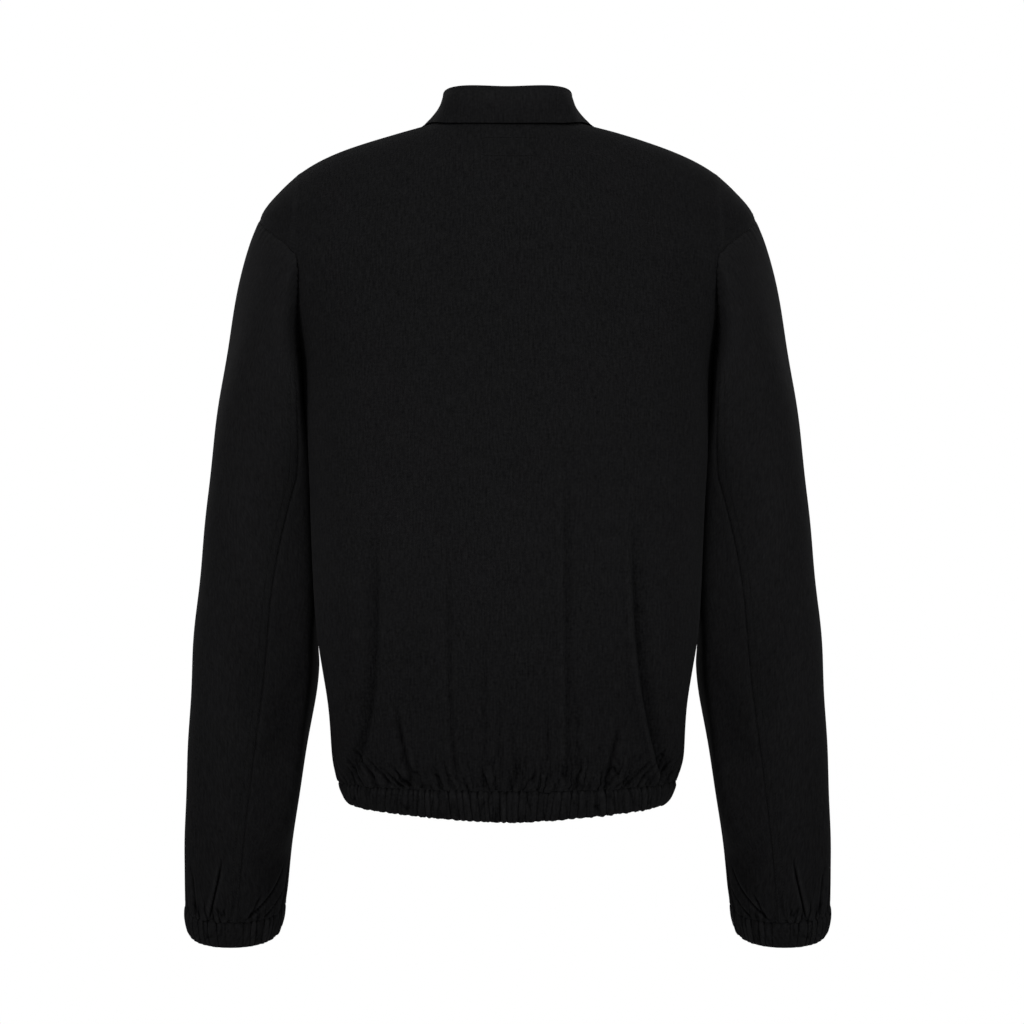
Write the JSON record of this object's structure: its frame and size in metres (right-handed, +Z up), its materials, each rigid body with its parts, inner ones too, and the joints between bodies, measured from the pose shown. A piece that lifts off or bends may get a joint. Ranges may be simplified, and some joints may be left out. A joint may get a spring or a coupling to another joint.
{
  "type": "coach jacket",
  "caption": "Coach jacket in black twill, filled out as worn with nobody in it: turned-down collar, long seamed sleeves, snap front, elastic hem and cuffs.",
  "frame": {"origin": "middle of the neck at the height where the shoulder seams meet the neckline, where the wearer's neck and shoulders hold the jacket", "axes": "+Z up from the hem to the collar, the front faces -Y, +X is the wearer's left side"},
  "size_m": [0.6054, 0.2654, 0.7793],
  "materials": {
    "shell_twill": "matte near-black cotton twill, softly brushed, with a faint diagonal rib and stitched seams",
    "snap_enamel": "black enamelled snap cap, satin"
  },
  "bodies": {
    "root": {"back": "shell_twill", "front_left": "shell_twill", "front_right": "shell_twill", "sleeve_left_top": "shell_twill", "sleeve_left_under": "shell_twill", "sleeve_right_top": "shell_twill", "sleeve_right_under": "shell_twill", "hem_band": "shell_twill", "cuff_left": "shell_twill", "cuff_right": "shell_twill", "collar_stand": "shell_twill", "collar_fall": "shell_twill", "snap_1": "snap_enamel", "snap_2": "snap_enamel", "snap_3": "snap_enamel", "snap_4": "snap_enamel", "snap_5": "snap_enamel", "snap_6": "snap_enamel"}
  },
  "joints": []
}
